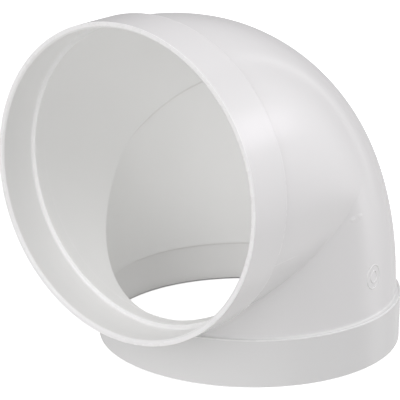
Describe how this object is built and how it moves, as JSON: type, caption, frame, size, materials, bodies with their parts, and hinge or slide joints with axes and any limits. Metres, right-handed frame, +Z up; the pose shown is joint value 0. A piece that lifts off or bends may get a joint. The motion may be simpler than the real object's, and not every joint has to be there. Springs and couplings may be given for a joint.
{
  "type": "duct elbow",
  "caption": "Ninety degree elbow for round duct: a mitred throat, a swept heel and a plain collar socket with a stop ledge at each end.",
  "frame": {"origin": "centre of the bottom of the bounding box; the two duct axes cross 85.1 mm above the outlet rim, 10.25 mm towards +Y", "axes": "+Z up, with the outlet socket opening down towards -Z; the inlet socket opens towards -Y; X = 0 is the plane of symmetry"},
  "size_m": [0.1292, 0.1498, 0.1497],
  "materials": {
    "white_plastic": "smooth gloss, as moulded"
  },
  "bodies": {
    "root": {"bend_shell": "white_plastic", "inlet_socket_collar": "white_plastic", "outlet_socket_collar": "white_plastic"}
  },
  "joints": []
}
